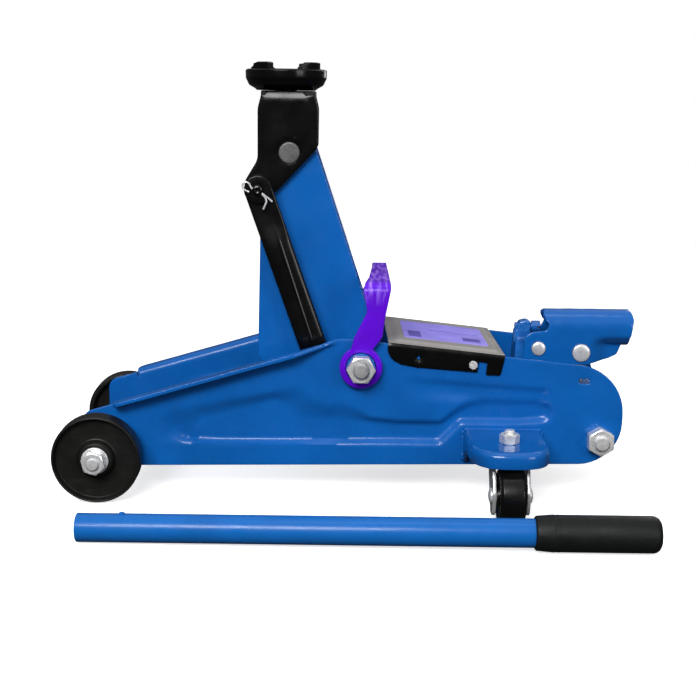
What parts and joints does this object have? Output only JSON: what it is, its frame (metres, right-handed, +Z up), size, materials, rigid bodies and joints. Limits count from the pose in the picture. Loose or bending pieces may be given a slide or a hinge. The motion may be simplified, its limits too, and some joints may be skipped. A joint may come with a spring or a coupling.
{
  "type": "hydraulic trolley jack",
  "caption": "Low wheeled hydraulic jack that lifts a car: steel side plates, raised arm with a level dished saddle, swivelling rear castors and a loose pumping handle beside it.",
  "frame": {"origin": "the point on the floor straight below the lift arm main pivot, in the middle plane of the jack", "axes": "+X runs to the handle socket end, +Y to the right side plate, +Z up from the floor"},
  "size_m": [0.45, 0.3217, 0.3282],
  "materials": {
    "blue_paint": "gloss blue enamel",
    "purple_paint": "gloss purple enamel",
    "black_paint": "gloss black enamel",
    "purple_label": "plain satin film",
    "zinc_plate": "bright zinc",
    "bright_steel": "ground steel",
    "black_plastic": "smooth moulded",
    "black_rubber": "satin moulded"
  },
  "bodies": {
    "frame": {"side_plate_left": "blue_paint", "side_plate_right": "blue_paint", "front_cross_plate": "blue_paint", "wheel_sleeves": "zinc_plate", "wheel_washers": "zinc_plate", "wheel_nuts": "zinc_plate", "wheel_bolts": "zinc_plate", "pivot_shaft": "bright_steel", "pivot_spacers": "bright_steel", "pivot_collars": "blue_paint", "large_nuts": "zinc_plate", "link_studs": "bright_steel", "rear_bolt": "zinc_plate", "rear_spacers": "bright_steel", "cover_plate": "black_paint", "cover_screws": "zinc_plate", "cover_label": "purple_label", "castor_bracket_left": "blue_paint", "castor_bracket_right": "blue_paint", "kingpins": "zinc_plate", "kingpin_nuts": "zinc_plate", "thrust_washers": "zinc_plate", "pump_block": "blue_paint", "reservoir_tube": "blue_paint", "cylinder_tube": "bright_steel", "gland_nut": "bright_steel", "filler_plug": "black_plastic", "pump_lug": "blue_paint", "pump_spring": "bright_steel"},
    "wheel_left": {"front_wheel_left": "black_paint"},
    "wheel_right": {"front_wheel_right": "black_paint"},
    "castor_left": {"castor_fork_left": "zinc_plate", "castor_axle_left": "zinc_plate"},
    "castor_right": {"castor_fork_right": "zinc_plate", "castor_axle_right": "zinc_plate"},
    "castor_roll_left": {"castor_wheel_left": "black_plastic"},
    "castor_roll_right": {"castor_wheel_right": "black_plastic"},
    "arm": {"lift_arm": "blue_paint", "crank_pin": "bright_steel"},
    "roller": {"crank_roller": "bright_steel"},
    "saddle_carrier": {"saddle_bracket": "black_paint", "arm_pin": "bright_steel", "link_pins": "bright_steel", "link_washers": "zinc_plate", "split_pins": "zinc_plate"},
    "saddle_dish": {"saddle": "black_paint", "saddle_circlip": "zinc_plate"},
    "level_link_left": {"link_left": "black_paint"},
    "level_link_right": {"link_right": "black_paint"},
    "ram_rod": {"ram": "bright_steel"},
    "socket": {"handle_socket": "blue_paint", "socket_pivot_pin": "bright_steel", "socket_press_pin": "bright_steel"},
    "socket_roller": {"press_roller": "bright_steel"},
    "pump_plunger": {"plunger": "bright_steel"},
    "valve": {"release_valve": "bright_steel"},
    "bail": {"carry_handle": "purple_paint"},
    "loose_handle": {"handle_bar": "blue_paint", "handle_grip": "black_rubber", "handle_button": "bright_steel"}
  },
  "joints": [
    {"name": "front_wheel_left_spin", "type": "hinge", "parent": "frame", "child": "wheel_left", "pos_m": [-0.1985, -0.073, 0.0335], "axis": [0, 1, 0], "continuous": true},
    {"name": "front_wheel_right_spin", "type": "hinge", "parent": "frame", "child": "wheel_right", "pos_m": [-0.1985, 0.073, 0.0335], "axis": [0, 1, 0], "continuous": true},
    {"name": "castor_left_swivel", "type": "hinge", "parent": "frame", "child": "castor_left", "pos_m": [0.1095, -0.096, 0.044], "axis": [0, 0, 1], "continuous": true},
    {"name": "castor_right_swivel", "type": "hinge", "parent": "frame", "child": "castor_right", "pos_m": [0.1095, 0.096, 0.044], "axis": [0, 0, 1], "continuous": true},
    {"name": "castor_left_roll", "type": "hinge", "parent": "castor_left", "child": "castor_roll_left", "pos_m": [0.1095, -0.113, 0.02], "axis": [1, 0, 0], "continuous": true},
    {"name": "castor_right_roll", "type": "hinge", "parent": "castor_right", "child": "castor_roll_right", "pos_m": [0.1095, 0.113, 0.02], "axis": [1, 0, 0], "continuous": true},
    {"name": "arm_lower", "type": "hinge", "parent": "frame", "child": "arm", "pos_m": [0, 0, 0.103], "axis": [0, -1, 0], "range_deg": [0, 82]},
    {"name": "saddle_level", "type": "hinge", "parent": "arm", "child": "saddle_carrier", "pos_m": [-0.0561, 0, 0.2611], "axis": [0, -1, 0], "range_deg": [-82, 0]},
    {"name": "link_left_swing", "type": "hinge", "parent": "frame", "child": "level_link_left", "pos_m": [-0.0231, 0, 0.0756], "axis": [0, -1, 0], "range_deg": [0, 82]},
    {"name": "link_right_swing", "type": "hinge", "parent": "frame", "child": "level_link_right", "pos_m": [-0.0231, 0, 0.0756], "axis": [0, -1, 0], "range_deg": [0, 82]},
    {"name": "saddle_turn", "type": "hinge", "parent": "saddle_carrier", "child": "saddle_dish", "pos_m": [-0.0597, 0, 0.31], "axis": [0, 0, 1], "continuous": true},
    {"name": "crank_roller_spin", "type": "hinge", "parent": "arm", "child": "roller", "pos_m": [-0.02887, 0, 0.06979], "axis": [0, 1, 0], "continuous": true},
    {"name": "ram_retract", "type": "slide", "parent": "frame", "child": "ram_rod", "axis": [1, 0, 0], "range_m": [0, 0.05773]},
    {"name": "socket_pump", "type": "hinge", "parent": "frame", "child": "socket", "pos_m": [0.1415, 0, 0.1098], "axis": [0, -1, 0], "range_deg": [0, 45]},
    {"name": "press_roller_spin", "type": "hinge", "parent": "socket", "child": "socket_roller", "pos_m": [0.1756, 0, 0.1067], "axis": [0, 1, 0], "continuous": true},
    {"name": "plunger_rise", "type": "slide", "parent": "frame", "child": "pump_plunger", "axis": [0, 0, 1], "range_m": [0, 0.02502], "deforming": ["pump_spring"]},
    {"name": "release_valve_turn", "type": "hinge", "parent": "frame", "child": "valve", "pos_m": [0.14, 0, 0.1252], "axis": [1, 0, 0], "range_deg": [0, 180]},
    {"name": "carry_handle_fold", "type": "hinge", "parent": "frame", "child": "bail", "pos_m": [0, 0, 0.103], "axis": [0, 1, 0], "range_deg": [-5, 55]},
    {"name": "handle_pick_up", "type": "slide", "parent": "frame", "child": "loose_handle", "axis": [0, 0, 1], "range_m": [0, 0.25]}
  ],
  "couplings": [
    {"joint": "saddle_level", "follows": "arm_lower", "ratio": -1},
    {"joint": "link_left_swing", "follows": "arm_lower", "ratio": 1},
    {"joint": "link_right_swing", "follows": "arm_lower", "ratio": 1},
    {"joint": "ram_retract", "follows": "arm_lower", "m_per_rad": 0.040339},
    {"joint": "plunger_rise", "follows": "socket_pump", "m_per_rad": 0.031857}
  ]
}
